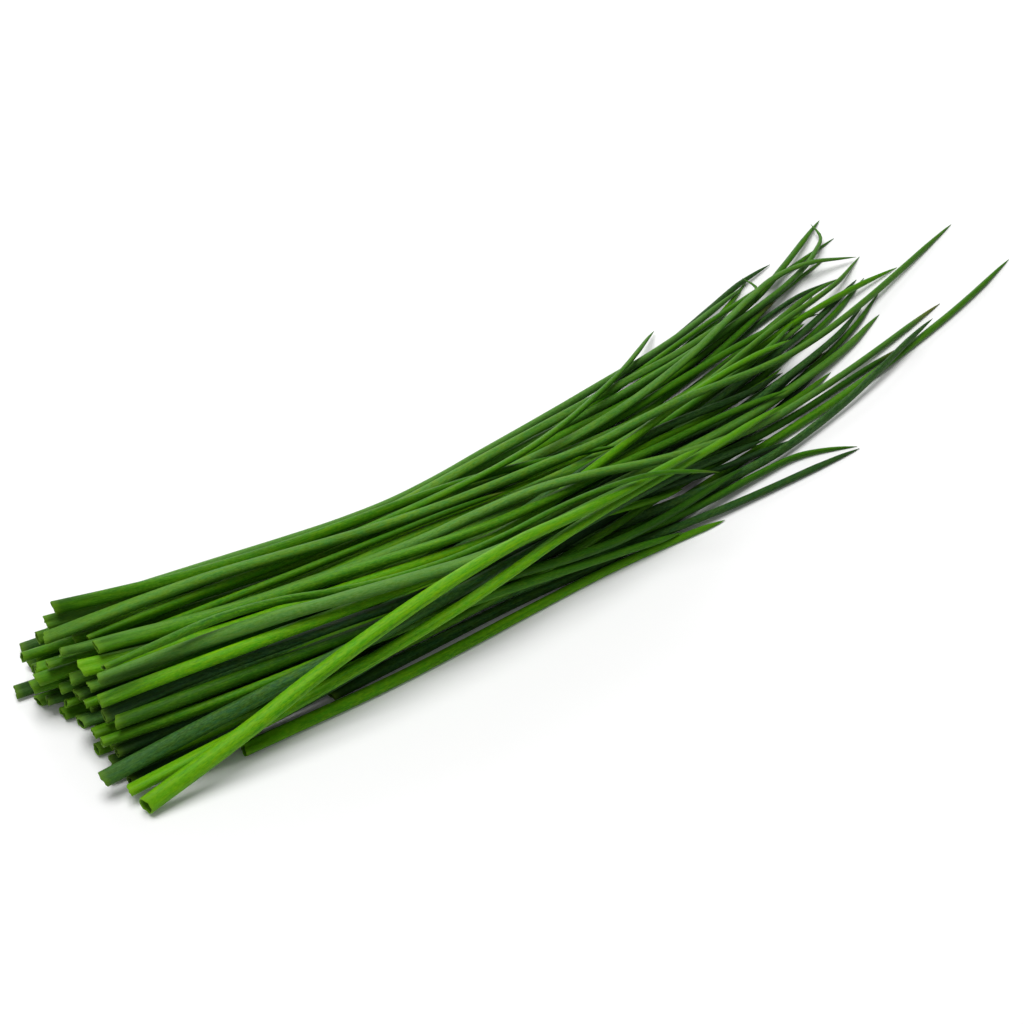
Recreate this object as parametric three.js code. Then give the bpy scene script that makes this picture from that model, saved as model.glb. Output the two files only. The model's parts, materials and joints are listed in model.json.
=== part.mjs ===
// A bunch of chives: sixty cut leaves lying loose in a pile, with no tie round them.
//
// Millimetres, +Z up. The leaves run along +X from their cut ends to their tips, the pile lies on z = 0,
// and the origin is on that surface under the middle of the bunch.
//
// Every leaf is a hollow-mouthed tapering tube. The leaves are laid one at a time, the lowest first. Each
// starts on its planned course above the pile, sinks under its weight, bends a little, and comes to rest on
// the leaves already there.
import * as THREE from "three";

// ---- driving dimensions ----------------------------------------------------------------------------------
const LEAF_WIDTH = 3.0;            // usual width of a leaf at its widest
const TAPER = 0.5;                 // how much of that width is gone just before the tip
const TIP_PART = 0.06;             // last part of a leaf's length, drawn out to the tip
const TIP_RADIUS = 0.12;
const BUNCH_START = -94.5;         // x where most leaves were cut
const LEAF_GAP = 0.2;              // clear space kept between two leaves
const SECTION_SPACING = 12;        // distance between sections along a leaf
const LEAF_SIDES = 6;
const MOUTH_DEPTH = 7;             // how deep the hollow at the cut end goes
const MOUTH_WALL = 0.32;           // wall thickness there, as a part of the leaf's radius

// The middle line of the bunch in plan: a shallow bow, which turns away towards +Y at the tips.
const BOW_X = -50;
const BOW_Y = -3;
const BOW_BEND = 0.0013;
const GATHER = 0.05;               // how far the outer leaves lean in towards the middle line by their tips

// ---- colours ---------------------------------------------------------------------------------------------
const COLOURS = {
  bright: 0x5f9e10,
  mid: 0x3c7a1c,
  pale: 0x5c8f48,
  dark: 0x2c5a30,
};

// ---- leaves whose courses are known ----------------------------------------------------------------------
// Each course is a few places that the leaf passes, from its cut end to its tip. They are listed in the order
// in which they are laid, so a leaf lies over those above it in the list where they cross.
const FLOOR_LEAVES = [
  { name: "stray_leaf_in_front", tone: "bright", width: 2.9,
    course: [[-72, -24], [-38, -22.5], [13, -17.5], [40, -17]] },
  { name: "short_cut_leaf_in_front", tone: "dark", width: 3.0,
    course: [[-52, -20], [-13, -17], [15, -16], [62, -4]] },
  { name: "front_low_leaf_straight", tone: "dark", width: 2.8,
    course: [[-94, -14], [-30, -17], [36, -15], [77, -13]] },
  { name: "front_low_leaf_hooked", tone: "mid", width: 2.8,
    course: [[-95, -10], [-30, -14], [25, -15], [65, -9], [77, -12]] },
  { name: "far_reaching_leaf", tone: "mid", width: 3.0,
    course: [[-93, -6], [-30, -11], [36, -9], [70, -2], [127, 15], [147, 23]] },
  { name: "far_low_leaf", tone: "dark", width: 3.0,
    course: [[-95, -2], [-20, -9], [44, -10], [81, -1], [117, 13]] },
  { name: "protruding_floor_leaf", tone: "dark", width: 3.1,
    course: [[-102, 11], [-40, 6], [30, 4], [92, 17]] },
];

const TOP_LEAVES = [
  { name: "front_slope_leaf_low", tone: "mid", width: 3.0,
    course: [[-95, -14], [-61, -18], [-13, -19], [30, -16]] },
  { name: "front_slope_leaf_middle", tone: "mid", width: 2.9,
    course: [[-92, -14], [-53, -17], [-12, -18], [14, -17], [50, -9]] },
  { name: "front_slope_leaf_dark", tone: "dark", width: 3.0,
    course: [[-93, -12], [-51, -15], [-30, -16], [-10, -14], [12, -10], [42, -8], [70, -4]] },
  { name: "back_leaf_far_tip", tone: "mid", width: 2.9,
    course: [[-92, 17], [-20, 15], [30, 22], [78, 34], [96, 43], [119, 58]] },
  { name: "back_leaf_bent_tip", tone: "mid", width: 2.8,
    course: [[-95, 15], [-20, 13], [30, 19], [84, 34], [104, 43], [114, 51], [115, 56]] },
  { name: "back_leaf_turned_tip", tone: "pale", width: 2.6,
    course: [[-90, 12], [-20, 12], [40, 24], [80, 34], [87, 38], [87, 44]] },
  { name: "back_top_leaf_edge", tone: "mid", width: 2.9,
    course: [[-89, 17], [-53, 17.5], [-17, 19], [12, 24.5], [34, 28.5], [62, 34], [87, 45]] },
  { name: "back_top_leaf_low", tone: "pale", width: 2.9,
    course: [[-94, 12], [-20, 9], [30, 15], [61, 25], [76, 32], [98, 41], [117, 41]] },
  { name: "front_slope_leaf_bright", tone: "bright", width: 2.9,
    course: [[-93, -10], [-63, -14], [-28, -15], [35, -9]] },
  { name: "back_top_leaf_short", tone: "mid", width: 2.6,
    course: [[-90, 9], [-20, 7], [17, 9], [42, 12]] },
  { name: "wide_grey_green_leaf", tone: "pale", width: 3.7,
    course: [[-91, -5], [-72, -9.5], [-50, -14.3], [-33, -16], [-12, -16], [16, -10], [45, -1]] },
  { name: "wide_bright_leaf", tone: "bright", width: 3.6,
    course: [[-93, -2], [-66, -5], [-47, -6], [-28, -7], [-6, -7], [10, -3], [31, 3], [55, 11], [82, 19]] },
  { name: "top_leaf_thin_tip", tone: "mid", width: 2.8,
    course: [[-92, 12], [-66, 9.5], [-40, 8.5], [6, 9], [30, 6]] },
  { name: "back_leaf_lifted_tip", tone: "mid", width: 2.6,
    course: [[-88, 7], [-30, 6], [9, 10], [39, 24], [62, 42]] },
  { name: "long_top_leaf", tone: "pale", width: 2.8,
    course: [[-96, 9], [-66, 6.8], [-41, 5], [3, 4.5], [24, 3], [51, 7.5], [81, 15], [145, 41]] },
  { name: "top_leaf_cut_short", tone: "mid", width: 2.6,
    course: [[-97, 6], [-66, 3.8], [-42, 2.5], [-20, 2], [0, 3]] },
  { name: "ridge_leaf_front", tone: "mid", width: 3.0,
    course: [[-89, -0.5], [-66, -2.7], [-45, -4], [-28, -5.5], [-4, -6.5], [27, -1], [52, 4], [72, 6]] },
  { name: "ridge_leaf_pale", tone: "pale", width: 2.9,
    course: [[-95, 3], [-66, 0.3], [-44, -1], [-26, -3], [-4, -4], [27, -5.5], [55, -2], [77, 4],
      [123, 18]] },
  { name: "crossing_leaf_dark", tone: "dark", width: 3.3,
    course: [[-98, -20], [-79, -20], [-65, -20.5], [-46, -20.5], [-29, -19.5], [14, -12.7], [60, -3]] },
  { name: "diagonal_leaf_long", tone: "bright", width: 3.0,
    course: [[-95, -23], [-66, -23.2], [-38, -21.2], [-15, -18.7], [12, -14.5], [40, -7.5], [67, 1.5]] },
  { name: "diagonal_leaf_bright", tone: "bright", width: 3.6,
    course: [[-94, -28], [-70, -25.8], [-56, -23.7], [-38, -21.3], [-14, -17.7], [12, -15], [40, -7.3]] },
  { name: "curled_tip_leaf", tone: "mid", width: 2.4,
    course: [[-91, -9], [-50, -10.5], [-13, -12.5], [1, -12.5], [14, -13.5], [26, -14.5], [37, -18]] },
];

// ---- the rows of leaves underneath -----------------------------------------------------------------------
// Each row lies on the one before it: how many leaves, and between which two places across the bunch.
const ROWS = [
  { name: "floor_row", count: 6, from: -16, to: 21.5 },
  { name: "second_row", count: 9, from: -17, to: 21 },
  { name: "third_row", count: 7, from: -12, to: 14 },
  { name: "fourth_row", count: 6, from: -8, to: 10 },
  { name: "fifth_row", count: 3, from: -3, to: 4 },
];
const ROW_LENGTH = [168, 216];     // shortest and longest leaf in the middle of a row
const ROW_REACH = 1;               // how much longer a leaf is for each millimetre towards the back
const ROW_HOOK = 3;                // how far its last few millimetres turn aside
const ROW_PLACES = [0, 0.3, 0.65, 0.92, 1];
const ROW_STAGGER = 2.6;           // how unevenly the cut ends line up
const CUT_BULGE = 4.5;             // how much further out the cut ends reach around one place across
const CUT_BULGE_LANE = 7;
const CUT_BULGE_WIDTH = 6;
const ROW_DRIFT = 9;               // how far a leaf strays sideways by its tip
const ROW_TONES = ["mid", "dark", "mid", "pale", "mid", "bright", "mid", "dark"];

/** Repeatable random numbers between 0 and 1. */
function randomSource(seed) {
  let state = seed;
  return () => {
    state = (Math.imul(state, 1664525) + 1013904223) >>> 0;
    return state / 4294967296;
  };
}
const random = randomSource(20);

function between(low, high) {
  return low + (high - low) * random();
}

/** The courses of the leaves of one row. */
function rowLeaves(row) {
  const leaves = [];
  for (let i = 0; i < row.count; i += 1) {
    const lane = THREE.MathUtils.lerp(row.from, row.to, i / (row.count - 1));
    const bulge = CUT_BULGE * Math.exp(-(((lane - CUT_BULGE_LANE) / CUT_BULGE_WIDTH) ** 2));
    const start = BUNCH_START - bulge + between(-ROW_STAGGER, ROW_STAGGER);
    const length = between(...ROW_LENGTH) + ROW_REACH * lane;
    const drift = between(-ROW_DRIFT, ROW_DRIFT);
    const hook = between(-ROW_HOOK, ROW_HOOK);
    const course = [];
    for (const along of ROW_PLACES) {
      const x = start + along * length;
      const middle = BOW_Y + BOW_BEND * (x - BOW_X) ** 2;
      course.push([x, middle + lane + (drift - GATHER * lane) * along ** 2]);
    }
    course[course.length - 1][1] += hook;
    leaves.push({
      name: `${row.name}_leaf_${i + 1}`,
      tone: ROW_TONES[Math.floor(random() * ROW_TONES.length)],
      width: LEAF_WIDTH * between(0.84, 1.08),
      course,
    });
  }
  return leaves;
}

// ---- the shape of one leaf -------------------------------------------------------------------------------
/** Radius of a leaf at a part t (0 to 1) of its length: fullest at its cut end, drawn out to the tip. */
function leafRadius(width, t) {
  const taper = 1 - TAPER * t ** 1.1;
  const tip = Math.min(1, Math.sqrt((1 - t) / TIP_PART));
  return Math.max(0.5 * width * taper * tip, TIP_RADIUS);
}

/** The places along a leaf where it has a section: even steps, with one more close to the tip. */
function sectionPlaces(length) {
  const steps = Math.round(length / SECTION_SPACING);
  const places = [];
  for (let i = 0; i < steps; i += 1) {
    places.push(i / steps);
  }
  places.push(1 - 0.4 / steps, 1);
  return places;
}

/** Lays out a leaf's middle line on its course, above the pile. */
function planLeaf(leaf, height, hold) {
  const points = leaf.course.map(([x, y]) => new THREE.Vector3(x, y, height));
  const curve = new THREE.CatmullRomCurve3(points, false, "centripetal");
  curve.arcLengthDivisions = 400;
  const length = curve.getLength();
  const places = sectionPlaces(length);
  return {
    ...leaf,
    hold,
    length,
    places,
    line: places.map((t) => curve.getPointAt(t)),
    planned: places.map((t) => curve.getPointAt(t)),
    radii: places.map((t) => leafRadius(leaf.width, t)),
  };
}

// ---- laying a leaf on the pile ---------------------------------------------------------------------------
const START_HEIGHT = 26;           // height at which a leaf starts
const SINK_STEPS = 260;
const CLEAR_STEPS = 160;
const SINK = 0.22;                 // how far a leaf sinks in one step
const BEND_PASSES = 2;             // how often its bend is restored in one step
const ROW_HOLD = 0.02;             // how firmly a leaf of the rows keeps to its course
const TOP_HOLD = 0.2;              // how firmly a leaf on top does
const MOST_LIFT = 3;               // how strongly a leaf that finds no room is turned upwards in the end
const LEFT_OVER = 0.01;            // a leaf is at rest when it misses no more than this of its clear space
const TOUCH = 4.2;                 // no two leaves touch whose middle lines are further apart than this
const STIFFNESS = 0.35;            // how firmly it keeps its bend while it sinks
const CLEAR_STIFFNESS = 0.1;       // and while it finds room
const FLAT = Math.cos(Math.PI / LEAF_SIDES);

const delta = new THREE.Vector3();
const offset = new THREE.Vector3();
const ownPlace = new THREE.Vector3();
const theirPlace = new THREE.Vector3();
const reach = new THREE.Box3();

/** The part (0 to 1) of the way from a to b that lies closest to a point. */
function closestPart(point, a, b) {
  delta.subVectors(b, a);
  offset.subVectors(point, a);
  return THREE.MathUtils.clamp(offset.dot(delta) / delta.lengthSq(), 0, 1);
}

/** The parts of the way from a to b and from c to d at which the two stretches are closest. */
function closestParts(a, b, c, d) {
  delta.subVectors(b, a);
  offset.subVectors(d, c);
  const own = delta.lengthSq();
  const their = offset.lengthSq();
  const both = delta.dot(offset);
  delta.multiplyScalar(their).addScaledVector(offset, -both);
  offset.subVectors(c, a);
  const spread = own * their - both * both;
  const s = spread > 1e-6 ? THREE.MathUtils.clamp(offset.dot(delta) / spread, 0, 1) : 0.5;
  ownPlace.lerpVectors(a, b, s);
  const t = closestPart(ownPlace, c, d);
  theirPlace.lerpVectors(c, d, t);
  return [closestPart(theirPlace, a, b), t];
}

/**
 * Moves a leaf away from a still one at one place: part s of its stretch k, and part t of the other's m.
 * The lift turns the push upwards, for a leaf that finds no room where it lies.
 */
function pushAway(leaf, k, s, other, m, t, lift) {
  ownPlace.lerpVectors(leaf.line[k], leaf.line[k + 1], s);
  theirPlace.lerpVectors(other.line[m], other.line[m + 1], t);
  const own = THREE.MathUtils.lerp(leaf.radii[k], leaf.radii[k + 1], s);
  const their = THREE.MathUtils.lerp(other.radii[m], other.radii[m + 1], t);
  offset.subVectors(ownPlace, theirPlace);
  const missing = own + their + LEAF_GAP - offset.length();
  if (missing <= 0) {
    return 0;
  }
  offset.normalize();
  offset.z += lift;
  offset.setLength(missing / ((1 - s) ** 2 + s ** 2));
  leaf.line[k].addScaledVector(offset, 1 - s);
  leaf.line[k + 1].addScaledVector(offset, s);
  return missing;
}

/** Moves one stretch of a leaf clear of one stretch of a leaf that already lies still. */
function clearStretch(leaf, k, other, m, lift) {
  const [a, b, c, d] = [leaf.line[k], leaf.line[k + 1], other.line[m], other.line[m + 1]];
  const [own, their] = closestParts(a, b, c, d);
  let worst = pushAway(leaf, k, own, other, m, their, lift);
  for (const end of [0, 1]) {
    worst = Math.max(worst, pushAway(leaf, k, end, other, m, closestPart(end ? b : a, c, d), lift));
    worst = Math.max(worst, pushAway(leaf, k, closestPart(end ? d : c, a, b), other, m, end, lift));
  }
  return worst;
}

/** Moves a leaf clear of the surface and of every leaf that already lies still. */
function clearPile(leaf, pile, lift) {
  const { line, radii } = leaf;
  let worst = 0;
  for (let k = 0; k < line.length - 1; k += 1) {
    reach.makeEmpty().expandByPoint(line[k]).expandByPoint(line[k + 1]).expandByScalar(TOUCH);
    for (const other of pile) {
      for (let m = 0; m < other.line.length - 1; m += 1) {
        if (reach.intersectsBox(other.boxes[m])) {
          worst = Math.max(worst, clearStretch(leaf, k, other, m, lift));
        }
      }
    }
  }
  line.forEach((point, k) => {
    point.z = Math.max(point.z, radii[k] * FLAT);
  });
  return worst;
}

/** Keeps a leaf at its length and close to its own bend and course. */
function relax(leaf, stiffness, hold) {
  const { line, planned } = leaf;
  const last = line.length - 1;
  for (let k = 1; k < last; k += 1) {
    const before = planned[k].distanceTo(planned[k - 1]);
    const after = planned[k + 1].distanceTo(planned[k]);
    const share = before / (before + after);
    for (const axis of ["x", "y", "z"]) {
      const rest = planned[k][axis] - THREE.MathUtils.lerp(planned[k - 1][axis], planned[k + 1][axis], share);
      const now = line[k][axis] - THREE.MathUtils.lerp(line[k - 1][axis], line[k + 1][axis], share);
      const fix = (now - rest) * stiffness * 0.5;
      line[k][axis] -= fix;
      line[k - 1][axis] += fix * (1 - share);
      line[k + 1][axis] += fix * share;
    }
  }
  for (let k = 0; k < last; k += 1) {
    delta.subVectors(line[k + 1], line[k]);
    const wanted = planned[k].distanceTo(planned[k + 1]);
    delta.multiplyScalar(0.5 * (1 - wanted / delta.length()));
    line[k].add(delta);
    line[k + 1].sub(delta);
  }
  for (let k = 0; k <= last; k += 1) {
    line[k].x += (planned[k].x - line[k].x) * hold;
    line[k].y += (planned[k].y - line[k].y) * hold;
  }
}

/** Lets a leaf sink onto the pile until it lies still and clear of its neighbours. */
function layLeaf(leaf, pile) {
  for (let step = 0; step < SINK_STEPS; step += 1) {
    const ease = 1 - (step / SINK_STEPS) ** 3;
    for (const point of leaf.line) {
      point.z -= SINK * ease;
    }
    for (let pass = 0; pass < BEND_PASSES; pass += 1) {
      relax(leaf, STIFFNESS, leaf.hold);
    }
    clearPile(leaf, pile, 0);
  }
  for (let step = 0; step < CLEAR_STEPS; step += 1) {
    const part = step / CLEAR_STEPS;
    if (clearPile(leaf, pile, MOST_LIFT * part ** 2) < LEFT_OVER) {
      return;
    }
    relax(leaf, CLEAR_STIFFNESS * (1 - part), 0);
  }
}

// ---- the solid of one leaf -------------------------------------------------------------------------------
/** Bends a turned profile onto a leaf's middle line. */
function leafMesh(leaf) {
  const { line, radii } = leaf;
  const last = line.length - 1;
  const hollow = radii[0] * (1 - MOUTH_WALL);
  const depth = MOUTH_DEPTH / leaf.length;
  const profile = [
    new THREE.Vector2(0, depth * last),
    new THREE.Vector2(hollow * 0.8, depth * last * 0.75),
    new THREE.Vector2(hollow, 0),
  ];
  radii.forEach((radius, k) => {
    profile.push(new THREE.Vector2(k === last ? 0 : radius, k));
  });
  const geometry = new THREE.LatheGeometry(profile, LEAF_SIDES, Math.PI / LEAF_SIDES);
  const place = geometry.getAttribute("position");
  const ahead = new THREE.Vector3();
  const centre = new THREE.Vector3();
  for (let i = 0; i < place.count; i += 1) {
    const section = place.getY(i);
    const k = Math.min(Math.floor(section), last - 1);
    centre.lerpVectors(line[k], line[k + 1], section - k);
    const ringIndex = Math.round(section) === section ? section : k;
    const back = line[Math.max(ringIndex - 1, 0)];
    const front = line[Math.min(ringIndex + 1, last)];
    ahead.subVectors(front, back).setZ(0).normalize();
    place.setXYZ(i,
      centre.x + ahead.y * place.getX(i),
      centre.y - ahead.x * place.getX(i),
      centre.z + place.getZ(i));
  }
  geometry.computeVertexNormals();
  const colour = COLOURS[leaf.tone];
  const material = new THREE.MeshStandardMaterial({ color: colour, roughness: 0.45, metalness: 0 });
  const mesh = new THREE.Mesh(geometry, material);
  mesh.name = leaf.name;
  return mesh;
}

// ---- the bunch -------------------------------------------------------------------------------------------
const pile = [];
function layAll(courses, hold) {
  for (const course of courses) {
    const leaf = planLeaf(course, START_HEIGHT, hold);
    layLeaf(leaf, pile);
    leaf.boxes = leaf.line.slice(1).map((point, k) => new THREE.Box3().setFromPoints([leaf.line[k], point]));
    pile.push(leaf);
  }
}
layAll(FLOOR_LEAVES, ROW_HOLD);
layAll(ROWS.flatMap(rowLeaves), ROW_HOLD);
layAll(TOP_LEAVES, TOP_HOLD);

const leaves = new THREE.Group();
for (const leaf of pile) {
  leaves.add(leafMesh(leaf));
}
const box = new THREE.Box3().setFromObject(leaves);
const middle = box.getCenter(new THREE.Vector3());
leaves.position.set(-middle.x, -middle.y, -box.min.z);

const bunch = new THREE.Group();
bunch.name = "chive_bunch";
bunch.add(leaves);
export default bunch;
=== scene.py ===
"""A bunch of cut chives lying in a loose pile: sixty leaves, each a piece of its own around its CAD node.

Lengths are metres, written as so many MM. Each leaf is rebuilt as a fine hollow tube on the middle line
and the radii of its CAD solid, so that it stays in that solid's space.
"""
import json
import math
import zlib

import bpy
import numpy as np
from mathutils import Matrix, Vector


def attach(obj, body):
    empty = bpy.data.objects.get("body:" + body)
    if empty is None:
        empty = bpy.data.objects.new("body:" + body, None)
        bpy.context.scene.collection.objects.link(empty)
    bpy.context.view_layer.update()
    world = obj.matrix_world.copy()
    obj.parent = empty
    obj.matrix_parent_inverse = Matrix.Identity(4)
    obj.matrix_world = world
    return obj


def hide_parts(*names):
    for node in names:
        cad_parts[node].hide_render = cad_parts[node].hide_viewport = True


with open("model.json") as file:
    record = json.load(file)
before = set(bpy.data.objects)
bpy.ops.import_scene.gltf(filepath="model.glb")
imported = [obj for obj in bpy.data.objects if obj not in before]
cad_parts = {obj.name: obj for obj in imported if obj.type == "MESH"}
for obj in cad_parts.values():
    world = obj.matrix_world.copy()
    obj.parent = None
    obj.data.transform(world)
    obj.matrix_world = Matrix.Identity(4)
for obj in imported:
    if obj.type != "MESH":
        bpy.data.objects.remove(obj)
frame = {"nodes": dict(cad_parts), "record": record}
bpy.context.view_layer.update()

MM = 0.001

# ---- the leaves --------------------------------------------------------------------------------------------
SIDES = 18                     # corners of a leaf's section
ANGLES = np.arange(SIDES) / SIDES * math.tau
RING_STEP = 1.5 * MM           # distance between sections
FILL = 0.985                   # part of the CAD radius that the widest ridge of a section reaches
SAME_SECTION = 3.0 * MM        # CAD corners closer than this belong to one section
CORNERS = 6                    # of a section of the CAD leaf
MOST_OVAL = 0.72               # part of its height that a squeezed leaf loses at most
TIP_LENGTH = 4.8 * MM          # of the cone at the end of a CAD leaf
TIP_RADIUS = 0.08 * MM
TIP_PLACES = np.array([2.2, 1.5, 0.9, 0.45, 0.15, 0.0]) * MM  # closer sections, counted back from the tip
WALL, MOST_WALL = 0.22 * MM, 0.3  # thickness of a leaf's wall at its cut, and the most of its radius
WALL_GAIN = 0.4                # how much thicker the wall is at the end of the hollow
HOLLOW_DEPTH, MOST_HOLLOW = 13 * MM, 0.3  # depth of the hollow, and the most of the leaf's length
LEAST_HOLLOW = 0.05 * MM       # its radius where it is narrowest
FLOOR_GAP = 0.02 * MM          # the lowest points of the leaves keep this clear of the floor
TIP_FULLNESS = 0.35            # how much fuller the tip is than the cone of the CAD leaf

# How a section turns, flattens and bulges along the leaf. Pairs are the least and the most.
TURN, TURN_GAIN, TURN_WAVE = 0.5, 0.9, 0.3
OVAL, OVAL_SPREAD, OVAL_WAVE = 0.10, 0.16, 0.05
SQUEEZES, SQUEEZE_ODDS, SQUEEZE_LENGTH = [0.10, 0.24, 0.40], [0.3, 0.4, 0.3], 10 * MM
MOST_DENTS, DENT_PLACE, DENT_DEPTH, DENT_LENGTH = 2, (0.15, 0.85), (0.05, 0.14), 5 * MM
KEEL = (0.01, 0.04)
RIBS, RIB_HEIGHT, RIB_TURN = 8, 0.007, 1.5
WOBBLE, WOBBLE_LENGTH = 0.008, 30 * MM

# The cut: how much it slants, how uneven it is, and how soon the leaf behind it is straight again.
SLANT = (0.03, 0.30)
UNEVEN, UNEVEN_WAVES = 0.2 * MM, (2, 3, 5)
CUT_FADE = 2.2 * MM
RIM_FADE, RIM_SHARE = 1.2 * MM, 0.5
HOLLOW_RINGS = (1.0, 0.72, 0.45, 0.22, 0.08)  # parts of the hollow's depth
CLOSING_FROM, CLOSING = 0.72, 0.85            # where the hollow starts to close, and how far it closes
# The rings over the rim, in millimetres: which wall, how far outside it, the place along the leaf for the
# material, how much it is inside, how much it is rim, and how far back from the cut it lies.
RIM_RINGS = [("inner", 0.0, 0.35, 0.7, 0.6, 0.35), ("inner", 0.05, 0.0, 0.1, 1.0, 0.06),
             ("outer", -0.06, 0.0, 0.0, 1.0, 0.0), ("outer", 0.0, 0.25, 0.0, 0.75, 0.12)]
HOLLOW_END, TIP_END = 0.5 * MM, 0.25 * MM     # how far the closing corners stand beyond the last rings

GRAIN_SHIFT = 500              # the most, in millimetres, that a leaf's grain is shifted along it
DRYNESS = (-0.3, 0.35)         # middle and spread of how dry a tip is; below nothing it isn't
STRIPS = 5                     # a leaf is drawn on its bake map as this many strips side by side
STRIP_EDGE, STRIP_END = 0.04, 0.02  # the room left beside a strip and at its ends
CLOSING_EDGE = 0.01            # how far the closing corners stand past the ends of their strips

# Leaves with a look of their own: how flat the cut end is squeezed, and how dry the tip is.
SQUEEZED = {"diagonal_leaf_bright": 0.12, "diagonal_leaf_long": 0.18, "crossing_leaf_dark": 0.25,
            "wide_grey_green_leaf": 0.3, "wide_bright_leaf": 0.35}
DRY_TIPS = {"top_leaf_cut_short": 0.3, "diagonal_leaf_bright": 0.0, "curled_tip_leaf": 0.15}

# How much painted shade darkens the green of the leaves low on the front slope, which lie in shadow.
PAINTED_SHADE_LEAVES = {"front_slope_leaf_middle": 0.75, "front_slope_leaf_dark": 0.75, "floor_row_leaf_1": 0.8,
               "floor_row_leaf_2": 0.5, "second_row_leaf_1": 0.85, "second_row_leaf_2": 0.8,
               "third_row_leaf_1": 0.8, "fourth_row_leaf_1": 0.6}
# How much more wax than its tone has lies on a leaf.
WAXY_LEAVES = {"back_top_leaf_edge": 0.7, "back_leaf_bent_tip": 0.35, "wide_grey_green_leaf": 0.45,
               "ridge_leaf_pale": 0.2}
CUT_END_SHADE = (0.35, 1.0)           # least and most painted shade on a leaf by its cut end, inside the dense bunch
TOP_CUT_END_SHADE = (0.0, 0.15)       # and a leaf that lies on top
CUT_END_SHADE_LENGTH = 9 * MM


def grouped(points, reach):
    """Groups of points that are linked by steps shorter than reach."""
    near = np.linalg.norm(points[:, None] - points[None], axis=2) < reach
    left = set(range(len(points)))
    groups = []
    while left:
        group = {left.pop()}
        front = set(group)
        while front:
            front = {j for i in front for j in np.nonzero(near[i])[0] if j in left}
            left -= front
            group |= front
        groups.append(sorted(group))
    return groups


def cad_sections(node):
    """Centres and radii of a CAD leaf's sections, from its cut end to its tip."""
    corners = np.array([v.co[:] for v in node.data.vertices])
    corners = np.unique(corners.round(7), axis=0)
    centres, radii = [], []
    for group in grouped(corners, SAME_SECTION):
        ring = corners[group]
        if len(group) not in (1, CORNERS, 2 * CORNERS):
            continue  # the floor of the hollow
        centres.append(ring.mean(0))
        radii.append(np.linalg.norm(ring - ring.mean(0), axis=1).max())
        if len(group) == 2 * CORNERS:
            start = len(centres) - 1
    centres, radii = np.array(centres), np.array(radii)
    order = [start]
    rest = set(range(len(centres))) - {start}
    while rest:
        last = centres[order[-1]]
        order.append(min(rest, key=lambda i: np.linalg.norm(centres[i] - last)))
        rest.discard(order[-1])
    return centres[order], radii[order]


def smooth_line(centres, radii, step):
    """A smooth line through the centres, in even steps, with its radii and lengths."""
    chords = np.linalg.norm(np.diff(centres, axis=0), axis=1)
    knots = np.concatenate([[0], np.cumsum(chords)])
    slopes = np.gradient(centres, knots, axis=0)
    fine = np.linspace(0, knots[-1], int(knots[-1] / (0.2 * MM)))
    k = np.clip(np.searchsorted(knots, fine, side="right") - 1, 0, len(chords) - 1)
    h = chords[k][:, None]
    t = ((fine - knots[k]) / chords[k])[:, None]
    line = ((2 * t**3 - 3 * t**2 + 1) * centres[k] + (t**3 - 2 * t**2 + t) * h * slopes[k]
            + (3 * t**2 - 2 * t**3) * centres[k + 1] + (t**3 - t**2) * h * slopes[k + 1])
    girth = np.interp(fine, knots, radii)
    lengths = np.concatenate([[0], np.cumsum(np.linalg.norm(np.diff(line, axis=0), axis=1))])
    body = lengths[-1] - 2 * TIP_PLACES[0] + TIP_PLACES[1]
    places = np.concatenate([np.linspace(0, body, int(body / step)), lengths[-1] - TIP_PLACES])
    line = np.stack([np.interp(places, lengths, line[:, i]) for i in range(3)], axis=1)
    return line, np.interp(places, lengths, girth), places


def across(line):
    """Unit vectors along, sideways of and upwards from a line."""
    ahead = np.gradient(line, axis=0)
    ahead /= np.linalg.norm(ahead, axis=1, keepdims=True)
    side = np.cross(ahead, (0, 0, 1))
    side /= np.linalg.norm(side, axis=1, keepdims=True)
    return ahead, side, np.cross(side, ahead)


def waves(random, places, length, count=3):
    """A slow random wave along a leaf, between -1 and 1."""
    total = np.zeros_like(places)
    for i in range(count):
        total += random.normal() * np.sin(places / length * math.pi * (i + 1.3) + random.uniform(0, math.tau))
    return total / count


def section_reach(name, girth, places, random):
    """Distances from the middle line to the corners of every section of a leaf, from the cut to the tip."""
    length = places[-1]
    part = places / length
    turn = random.normal() * TURN + random.normal() * TURN_GAIN * part
    turn = turn + TURN_WAVE * waves(random, places, length)
    oval = OVAL + OVAL_SPREAD * random.random() + OVAL_WAVE * waves(random, places, length, 4)
    squeeze = SQUEEZED.get(name, random.choice(SQUEEZES, p=SQUEEZE_ODDS))
    oval = oval + squeeze * np.exp(-((places / SQUEEZE_LENGTH) ** 2))
    for _ in range(random.integers(0, MOST_DENTS + 1)):  # soft dents, where the hollow leaf gave way
        middle = random.uniform(*DENT_PLACE) * length
        oval = oval + random.uniform(*DENT_DEPTH) * np.exp(-(((places - middle) / DENT_LENGTH) ** 2))
    phase = ANGLES[None] - turn[:, None]
    shape = 1 - np.minimum(oval, MOST_OVAL)[:, None] * np.sin(phase) ** 2
    keel_height = random.uniform(*KEEL)
    keel = keel_height * np.cos(3 * phase + random.uniform(0, math.tau))
    ribs = RIB_HEIGHT * np.cos(RIBS * ANGLES[None] + random.uniform(0, math.tau) + RIB_TURN * part[:, None])
    shape = shape * (1 + keel + ribs) / (1 + RIB_HEIGHT + keel_height) * FILL
    wobble = 1 + WOBBLE * waves(random, places, WOBBLE_LENGTH, 4)[:, None]
    return girth[:, None] * shape * np.minimum(wobble, 1.0)


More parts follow.
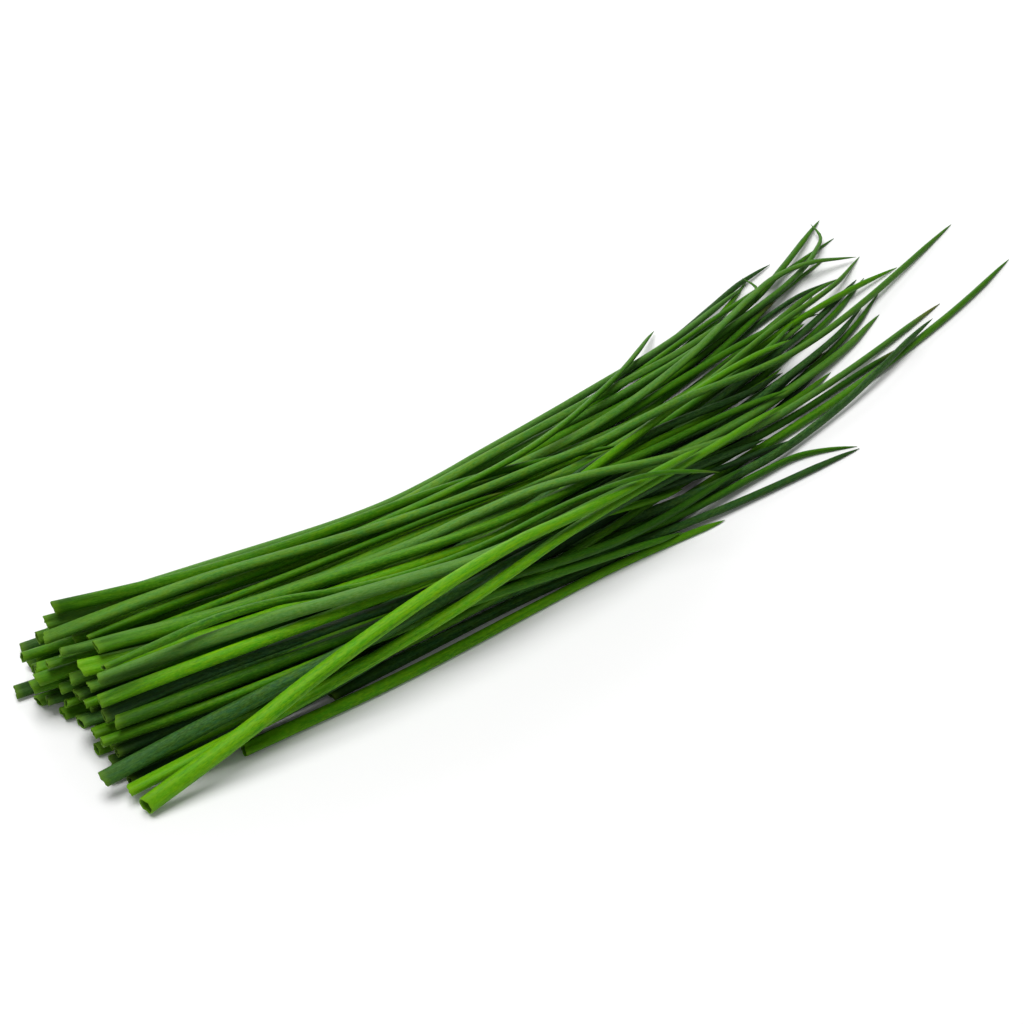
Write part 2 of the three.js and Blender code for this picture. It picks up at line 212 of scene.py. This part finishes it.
def cut_depths(radius, random):
    """How far back the cut lies at each corner: it slants and is a little uneven."""
    slant_to = random.uniform(0, math.tau)
    slant = random.uniform(*SLANT)
    uneven = sum(random.normal() * np.cos(n * ANGLES + random.uniform(0, math.tau)) for n in UNEVEN_WAVES)
    return radius * slant * (np.cos(ANGLES - slant_to) + 1) + np.abs(0.5 * UNEVEN * uneven)


def leaf_rows(line, girth, places, reach, cut, hollow):
    """The sections of a leaf, up out of its hollow, over the rim and on to the tip.

    Each is its points, its place along the leaf, how much it is inside and how much it is rim.
    """
    ahead, side, up = across(line)
    rows = []

    def row(k, distances, along, inside, rim, pull):
        """Adds a section: k is its place on the line, pull moves it along."""
        spot = line[k] + side[k] * (distances * np.cos(ANGLES))[:, None]
        spot = spot + up[k] * (distances * np.sin(ANGLES))[:, None]
        rows.append((spot + ahead[k] * np.broadcast_to(pull, ANGLES.shape)[:, None], along, inside, rim))

    def inner(depth):
        """Distances of the hollow's wall from the middle line, at a part of its depth."""
        wall = min(WALL, MOST_WALL * girth[0])
        return np.maximum(reach[0] - wall * (1 + WALL_GAIN * depth), LEAST_HOLLOW)

    for depth in HOLLOW_RINGS:
        spot = depth * hollow
        k = min(int(round(spot / (places[1] - places[0]))), len(line) - 2)
        closing = 1 - CLOSING * max(0.0, (depth - CLOSING_FROM) / (1 - CLOSING_FROM)) ** 2
        row(k, inner(depth) * closing, spot, 1, 0, spot - places[k] + cut * (1 - depth) ** 2)
    walls = {"inner": inner(0), "outer": reach[0]}
    for wall, outside, along, inside, rim, set_back in RIM_RINGS:
        row(0, walls[wall] + outside * MM, along * MM, inside, rim, set_back * MM + cut)
    for k in range(1, len(line)):
        fade = math.exp(-places[k] / CUT_FADE)
        rim = RIM_SHARE * math.exp(-places[k] / RIM_FADE)
        row(k, reach[k], places[k], 0, rim, cut * fade)
    return rows


def leaf_faces(count):
    """The faces between the sections, and those that close the hollow and the tip."""
    faces = []
    for j in range(count - 1):
        for i in range(SIDES):
            n = (i + 1) % SIDES
            faces.append((j * SIDES + i, j * SIDES + n, (j + 1) * SIDES + n, (j + 1) * SIDES + i))
    bottom, top = count * SIDES, count * SIDES + 1
    for i in range(SIDES):
        n = (i + 1) % SIDES
        faces.append((bottom, n, i))
        faces.append((top, (count - 1) * SIDES + i, (count - 1) * SIDES + n))
    return faces


def paint_values(mesh, name, rows, hollow, length, width, random):
    """What the material reads: the place in the leaf in millimetres, how far along, inside and on the rim it
    is, the leaf's own mood and dryness, the painted shade on its cut end and over all of it, and its wax.
    """
    count = len(rows)
    size = count * SIDES + 2
    corners = np.stack([np.cos(ANGLES), np.sin(ANGLES)], axis=1)
    around = np.concatenate([corners] * count + [np.zeros((2, 2))])
    along, inside, rim = (
        np.concatenate([np.full(SIDES, float(row[i])) for row in rows] + [ends])
        for i, ends in ((1, [hollow, length]), (2, [1.0, 0.0]), (3, [0.0, 0.0])))
    shift = random.uniform(0, GRAIN_SHIFT)
    grain = np.stack([around[:, 0] * width / MM, around[:, 1] * width / MM, along / MM + shift], axis=1)
    state = np.stack([along / length, inside, rim], axis=1)
    dry = DRY_TIPS.get(name, max(0.0, random.normal(*DRYNESS)))
    mood = np.tile([random.uniform(0, 1), random.uniform(0, 1), dry], (size, 1))
    # Painted shade at the cut end, where the bunch shades it; less on a leaf that lies on top.
    cut_shade = random.uniform(*(TOP_CUT_END_SHADE if name in SQUEEZED else CUT_END_SHADE))
    painted_cut_shade = cut_shade * np.exp(-((along / CUT_END_SHADE_LENGTH) ** 2))
    # Painted shade over the whole of a leaf low on the front slope.
    depth = np.full(size, PAINTED_SHADE_LEAVES.get(name, 0.0))
    waxy = np.full(size, WAXY_LEAVES.get(name, 0.0))
    painted_shade_and_wax = np.stack([painted_cut_shade, depth, waxy], axis=1)
    for label, values in (("grain", grain), ("state", state), ("mood", mood), ("painted_shade_and_wax", painted_shade_and_wax)):
        mesh.attributes.new(label, "FLOAT_VECTOR", "POINT").data.foreach_set("vector", values.ravel())


def leaf_mesh(name, centres, radii, random):
    """A hollow leaf with a raw cut at one end and a drawn-out tip at the other."""
    line, girth, places = smooth_line(centres, radii, RING_STEP)
    length = places[-1]

    # Near the tip the CAD leaf ends in a plain cone. This one is fuller, and rounded at its end.
    tip = np.clip((length - places) / TIP_LENGTH, 1e-4, 1)
    girth = np.maximum(girth * tip ** -TIP_FULLNESS, TIP_RADIUS)
    reach = section_reach(name, girth, places, random)
    cut = cut_depths(girth[0], random)
    hollow = min(HOLLOW_DEPTH, MOST_HOLLOW * length)
    rows = leaf_rows(line, girth, places, reach, cut, hollow)

    ahead = across(line)[0]
    hollow_end = line[int(round(hollow / (places[1] - places[0])))] + ahead[0] * HOLLOW_END
    tip_end = line[-1] + ahead[-1] * TIP_END
    points = np.concatenate([row[0] for row in rows] + [[hollow_end], [tip_end]])
    points[:, 2] = np.maximum(points[:, 2], FLOOR_GAP)

    mesh = bpy.data.meshes.new("leaf." + name)
    mesh.from_pydata(points.tolist(), [], leaf_faces(len(rows)))
    mesh.validate()
    mesh.polygons.foreach_set("use_smooth", [True] * len(mesh.polygons))
    paint_values(mesh, name, rows, hollow, length, radii.max(), random)
    bake_map(mesh, len(rows))
    return mesh


def bake_map(mesh, count):
    """A UV map that fills the square: the leaf's length in strips, and its girth across each strip."""
    layer = mesh.uv_layers.new(name="OFBake")
    rows = np.concatenate([np.repeat(np.arange(count), SIDES), [0, count - 1]])
    per_strip = math.ceil((count - 1) / STRIPS)
    uvs = np.zeros((len(mesh.loops), 2))
    for polygon in mesh.polygons:
        corners = list(polygon.vertices)
        low = min(rows[c] for c in corners)
        strip = min(low // per_strip, STRIPS - 1)
        sides = [c % SIDES for c in corners if c < count * SIDES]
        wraps = max(sides) - min(sides) > SIDES / 2
        for loop, corner in zip(polygon.loop_indices, corners):
            if corner < count * SIDES:
                i = corner % SIDES
                u = (SIDES if wraps and i == 0 else i) / SIDES
                v = (rows[corner] - strip * per_strip) / per_strip
            else:
                u = (min(sides) + (SIDES - 0.5 if wraps else 0.5)) / SIDES
                v = (rows[corner] - strip * per_strip) / per_strip
                v += -CLOSING_EDGE if corner == count * SIDES else CLOSING_EDGE
            uvs[loop] = ((strip + STRIP_EDGE + (1 - 2 * STRIP_EDGE) * u) / STRIPS,
                         STRIP_END + (1 - 2 * STRIP_END) * v)
    layer.data.foreach_set("uv", uvs.ravel())


# ---- materials ---------------------------------------------------------------------------------------------
# Each tone: its deep, main and light green, how much pale bloom lies on it, and how rough it is.
TONES = {
    "leaf_bright": dict(deep=(0.040, 0.160, 0.0004), main=(0.095, 0.310, 0.0010), light=(0.165, 0.420, 0.004),
                        bloom=0.06, rough=0.42),
    "leaf_mid": dict(deep=(0.016, 0.088, 0.0008), main=(0.054, 0.200, 0.0012), light=(0.112, 0.300, 0.005),
                     bloom=0.15, rough=0.46),
    "leaf_pale": dict(deep=(0.028, 0.112, 0.0045), main=(0.072, 0.215, 0.0110), light=(0.135, 0.305, 0.028),
                      bloom=0.40, rough=0.50),
    "leaf_dark": dict(deep=(0.005, 0.030, 0.0030), main=(0.024, 0.090, 0.0100), light=(0.058, 0.160, 0.030),
                      bloom=0.35, rough=0.48),
}
BLOOM = (0.105, 0.235, 0.055)
CUT = (0.20, 0.38, 0.015)
STRAW = (0.20, 0.12, 0.035)

# What the green is multiplied by: in yellower and bluer patches, and as painted shade on the leaves low on
# the front slope, on the cut ends and in the hollow.
WARM = (1.45, 1.08, 0.35)
COOL = (0.62, 0.92, 2.10)
PAINTED_SHADE_TINT = (0.30, 0.36, 0.55)
CUT_END_SHADE_TINT = (0.30, 0.42, 0.25)
SHADED = (0.6, 0.6, 0.6)

# Each noise: its cells in a millimetre across, across and along the leaf, its detail and its roughness.
VEINS = (4.5, 4.5, 0.12), 3.0, 0.65
STRIPES = (1.1, 1.1, 0.018), 2.0, 0.5
CLOUD = (0.45, 0.45, 0.10), 4.0, 0.65
FLECKS = (3.2, 3.2, 1.1), 4.0, 0.75
PATCHES = (1.3, 1.3, 0.45), 3.0, 0.6
VEIN_SHARE = 0.42              # of veins against stripes

GLOSS = {"Specular IOR Level": 0.09, "Sheen Weight": 0.03, "Sheen Roughness": 0.45,
         "Sheen Tint": (0.55, 0.85, 0.35)}
BUMP_STRENGTH, BUMP_HEIGHT = 0.55, 0.12 * MM


class Nodes:
    """Short names for making and joining shader nodes."""

    def __init__(self, name):
        self.material = bpy.data.materials.new(name)
        self.material.use_nodes = True
        self.tree = self.material.node_tree
        self.shader = self.tree.nodes["Principled BSDF"]

    def new(self, kind, **settings):
        node = self.tree.nodes.new("ShaderNode" + kind)
        for key, value in settings.items():
            setattr(node, key, value)
        return node

    def put(self, socket, value):
        if isinstance(value, bpy.types.NodeSocket):
            self.tree.links.new(value, socket)
        elif isinstance(value, tuple) and len(value) == 3 and socket.type == "RGBA":
            socket.default_value = (*value, 1)
        else:
            socket.default_value = value

    def attribute(self, name):
        return self.new("Attribute", attribute_name=name).outputs["Vector"]

    def split(self, vector):
        node = self.new("SeparateXYZ")
        self.put(node.inputs[0], vector)
        return node.outputs

    def maths(self, operation, *values, clamp=False):
        node = self.new("Math", operation=operation, use_clamp=clamp)
        for socket, value in zip(node.inputs, values):
            self.put(socket, value)
        return node.outputs[0]

    def noise(self, vector, stretch, detail, roughness):
        """Noise between 0 and 1."""
        scaled = self.new("VectorMath", operation="MULTIPLY")
        self.put(scaled.inputs[0], vector)
        scaled.inputs[1].default_value = stretch
        node = self.new("TexNoise", noise_dimensions="3D")
        self.put(node.inputs["Vector"], scaled.outputs[0])
        node.inputs["Scale"].default_value = 1.0
        node.inputs["Detail"].default_value = detail
        node.inputs["Roughness"].default_value = roughness
        return node.outputs["Fac"]

    def ramp(self, value, low, high, to_low=0.0, to_high=1.0):
        """Goes smoothly from one value to another while the given one goes from low to high."""
        node = self.new("MapRange", interpolation_type="SMOOTHSTEP")
        self.put(node.inputs["Value"], value)
        node.inputs["From Min"].default_value = low
        node.inputs["From Max"].default_value = high
        node.inputs["To Min"].default_value = to_low
        node.inputs["To Max"].default_value = to_high
        return node.outputs["Result"]

    def mix(self, share, a, b, blend="MIX"):
        """Mixes two colours. A mix node has sockets for every data type, and these are the colour ones."""
        node = self.new("Mix", data_type="RGBA", blend_type=blend, clamp_factor=True)
        colours = [socket for socket in node.inputs if socket.type == "RGBA"]
        for socket, value in zip((node.inputs[0], *colours), (share, a, b)):
            self.put(socket, value)
        return next(socket for socket in node.outputs if socket.type == "RGBA")

    def times(self, colour, factor):
        return self.mix(1.0, colour, factor, "MULTIPLY")


def leaf_material(name, deep, main, light, bloom, rough):
    """The look of the leaves of one tone."""
    n = Nodes(name)
    mix = n.mix

    grain = n.attribute("grain")
    along, inside, rim = n.split(n.attribute("state"))
    mood_a, mood_b, dry = n.split(n.attribute("mood"))
    # Painted shade on the cut end, painted shade over the whole leaf, and wax.
    painted_cut_shade, depth, waxy = n.split(n.attribute("painted_shade_and_wax"))

    veins = n.noise(grain, *VEINS)
    stripes = n.noise(grain, *STRIPES)
    cloud = n.noise(grain, *CLOUD)
    flecks = n.noise(grain, *FLECKS)
    patches = n.noise(grain, *PATCHES)

    # The green itself: veins and stripes, then clouds, yellower and bluer patches, and flecks.
    shade = n.maths("MULTIPLY", veins, VEIN_SHARE)
    shade = n.maths("ADD", shade, n.maths("MULTIPLY", stripes, 1 - VEIN_SHARE))
    colour = mix(n.ramp(shade, 0.32, 0.50), deep, main)
    colour = mix(n.ramp(shade, 0.50, 0.72), colour, light)
    colour = mix(n.ramp(cloud, 0.40, 0.62, 0.0, 0.45), colour, mix(mood_a, deep, light))
    colour = mix(n.ramp(patches, 0.48, 0.66, 0.0, 0.75), colour, n.times(colour, WARM))
    colour = mix(n.ramp(patches, 0.34, 0.52, 0.75, 0.0), colour, n.times(colour, COOL))
    colour = mix(n.ramp(flecks, 0.50, 0.66, 0.0, 0.60), colour, light)
    colour = mix(n.ramp(flecks, 0.32, 0.48, 0.60, 0.0), colour, deep)

    # Along the leaf: yellower by the cut, a fuller green in the middle, darker towards the tip.
    colour = mix(n.ramp(along, 0.0, 0.16, 0.30, 0.0), colour, light)
    colour = mix(n.ramp(along, 0.40, 0.90, 0.0, 0.50), colour, deep)

    # Wax lies on it in flecks, more on some leaves than on others.
    wax = n.maths("MULTIPLY", n.ramp(flecks, 0.38, 0.68), n.ramp(cloud, 0.3, 0.65, 0.35, 1.0))
    wax = n.maths("MULTIPLY", wax, n.ramp(mood_b, 0.0, 1.0, 0.6 * bloom, 1.25 * bloom), clamp=True)
    wax = n.maths("ADD", wax, n.maths("MULTIPLY", waxy, n.ramp(flecks, 0.30, 0.65, 0.35, 1.0)), clamp=True)
    colour = mix(wax, colour, BLOOM)

    # Painted shade: some leaves low on the front slope are darkened all over, and the cut ends in cloudy
    # patches.
    colour = mix(n.maths("MULTIPLY", depth, 0.9), colour, n.times(colour, PAINTED_SHADE_TINT))
    # Painted shade on the cut ends, in cloudy patches.
    cut_shade_spots = n.maths("MULTIPLY", painted_cut_shade, n.ramp(cloud, 0.30, 0.60, 0.55, 1.3), clamp=True)
    colour = mix(cut_shade_spots, colour, n.times(colour, CUT_END_SHADE_TINT))

    # The last few millimetres of some tips have dried.
    edge = n.maths("ADD", along, n.maths("MULTIPLY", cloud, 0.02))
    straw = n.maths("MULTIPLY", n.ramp(edge, 0.95, 1.0), dry, clamp=True)
    colour = mix(straw, colour, STRAW)

    # The rim of the cut is paler, and the hollow is darkened with painted shade.
    colour = mix(n.maths("MULTIPLY", rim, 0.4), colour, CUT)
    colour = mix(n.maths("MULTIPLY", inside, 0.85), colour, n.times(deep, SHADED))
    n.put(n.shader.inputs["Base Color"], colour)

    gloss = n.maths("ADD", n.maths("MULTIPLY", flecks, 0.16), n.maths("MULTIPLY", wax, 0.22))
    n.put(n.shader.inputs["Roughness"], n.maths("ADD", gloss, rough - 0.09))
    for socket, value in GLOSS.items():
        n.put(n.shader.inputs[socket], value)

    height = n.maths("ADD", veins, n.maths("MULTIPLY", flecks, 0.35))
    bump = n.new("Bump")
    bump.inputs["Strength"].default_value = BUMP_STRENGTH
    bump.inputs["Distance"].default_value = BUMP_HEIGHT
    n.put(bump.inputs["Height"], height)
    n.put(n.shader.inputs["Normal"], bump.outputs[0])
    return n.material


materials = {slot: leaf_material(slot, **tone) for slot, tone in TONES.items()}

# ---- the pieces --------------------------------------------------------------------------------------------
slots = {part["node"]: part["material_slot"] for part in frame["record"]["subparts"]}
for node_name in sorted(frame["nodes"]):
    centres, radii = cad_sections(frame["nodes"][node_name])
    random = np.random.default_rng(zlib.crc32(node_name.encode()))
    mesh = leaf_mesh(node_name, centres, radii, random)
    mesh.materials.append(materials[slots[node_name]])
    leaf = bpy.data.objects.new("leaf." + node_name, mesh)
    bpy.context.scene.collection.objects.link(leaf)
    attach(leaf, "root")
    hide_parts(node_name)

# ---- floor, light and camera -------------------------------------------------------------------------------
FLOOR = 3.0                    # half its width
FLOOR_COLOUR = (0.90, 0.90, 0.90)
FLOOR_ROUGHNESS, FLOOR_GLOSS = 0.9, 0.1
WORLD_STRENGTH = 0.25
# Each light's place, width and power. They all face the middle of the floor.
LIGHTS = {"key": ((-0.15, 0.16, 1.15), 0.9, 13), "back": ((0.35, 1.1, 0.45), 0.7, 5),
          "fill": ((-0.9, -0.5, 0.7), 0.8, 1.2)}
LOOK_AT = np.array((-0.0224532, -0.0141147, 0.008))
DISTANCE = 0.48
AZIMUTH, ELEVATION = math.radians(-31), math.radians(42)
LENS, SENSOR, CLIP = 85, 36, 0.01

floor_mesh = bpy.data.meshes.new("floor")
floor_mesh.from_pydata([(-FLOOR, -FLOOR, 0), (FLOOR, -FLOOR, 0), (FLOOR, FLOOR, 0), (-FLOOR, FLOOR, 0)],
                       [], [(0, 1, 2, 3)])
floor = bpy.data.objects.new("floor", floor_mesh)
floor_look = Nodes("floor")
floor_look.put(floor_look.shader.inputs["Base Color"], FLOOR_COLOUR)
floor_look.shader.inputs["Roughness"].default_value = FLOOR_ROUGHNESS
floor_look.shader.inputs["Specular IOR Level"].default_value = FLOOR_GLOSS
floor_mesh.materials.append(floor_look.material)
bpy.context.scene.collection.objects.link(floor)

world = bpy.data.worlds.new("studio")
bpy.context.scene.world = world
world.use_nodes = True
world.node_tree.nodes["Background"].inputs["Color"].default_value = (1, 1, 1, 1)
world.node_tree.nodes["Background"].inputs["Strength"].default_value = WORLD_STRENGTH


def aim(thing, place, target):
    """Turns an object at a place towards a target."""
    thing.location = place
    way = Vector(target) - Vector(place)
    thing.rotation_euler = way.to_track_quat("-Z", "Y").to_euler()


for name, (place, size, power) in LIGHTS.items():
    light = bpy.data.lights.new(name, "AREA")
    light.shape = "DISK"
    light.size = size
    light.energy = power
    softbox = bpy.data.objects.new(name, light)
    bpy.context.scene.collection.objects.link(softbox)
    aim(softbox, place, (0, 0, 0))

camera = bpy.data.cameras.new("camera")
camera.lens = LENS
camera.sensor_width = SENSOR
camera.clip_start = CLIP
camera_object = bpy.data.objects.new("camera", camera)
bpy.context.scene.collection.objects.link(camera_object)
towards_camera = np.array((math.sin(AZIMUTH) * math.cos(ELEVATION),
                           -math.cos(AZIMUTH) * math.cos(ELEVATION), math.sin(ELEVATION)))
aim(camera_object, tuple(LOOK_AT + DISTANCE * towards_camera), tuple(LOOK_AT))
bpy.context.scene.camera = camera_object

bpy.context.scene.view_settings.view_transform = "Standard"

bpy.context.view_layer.update()
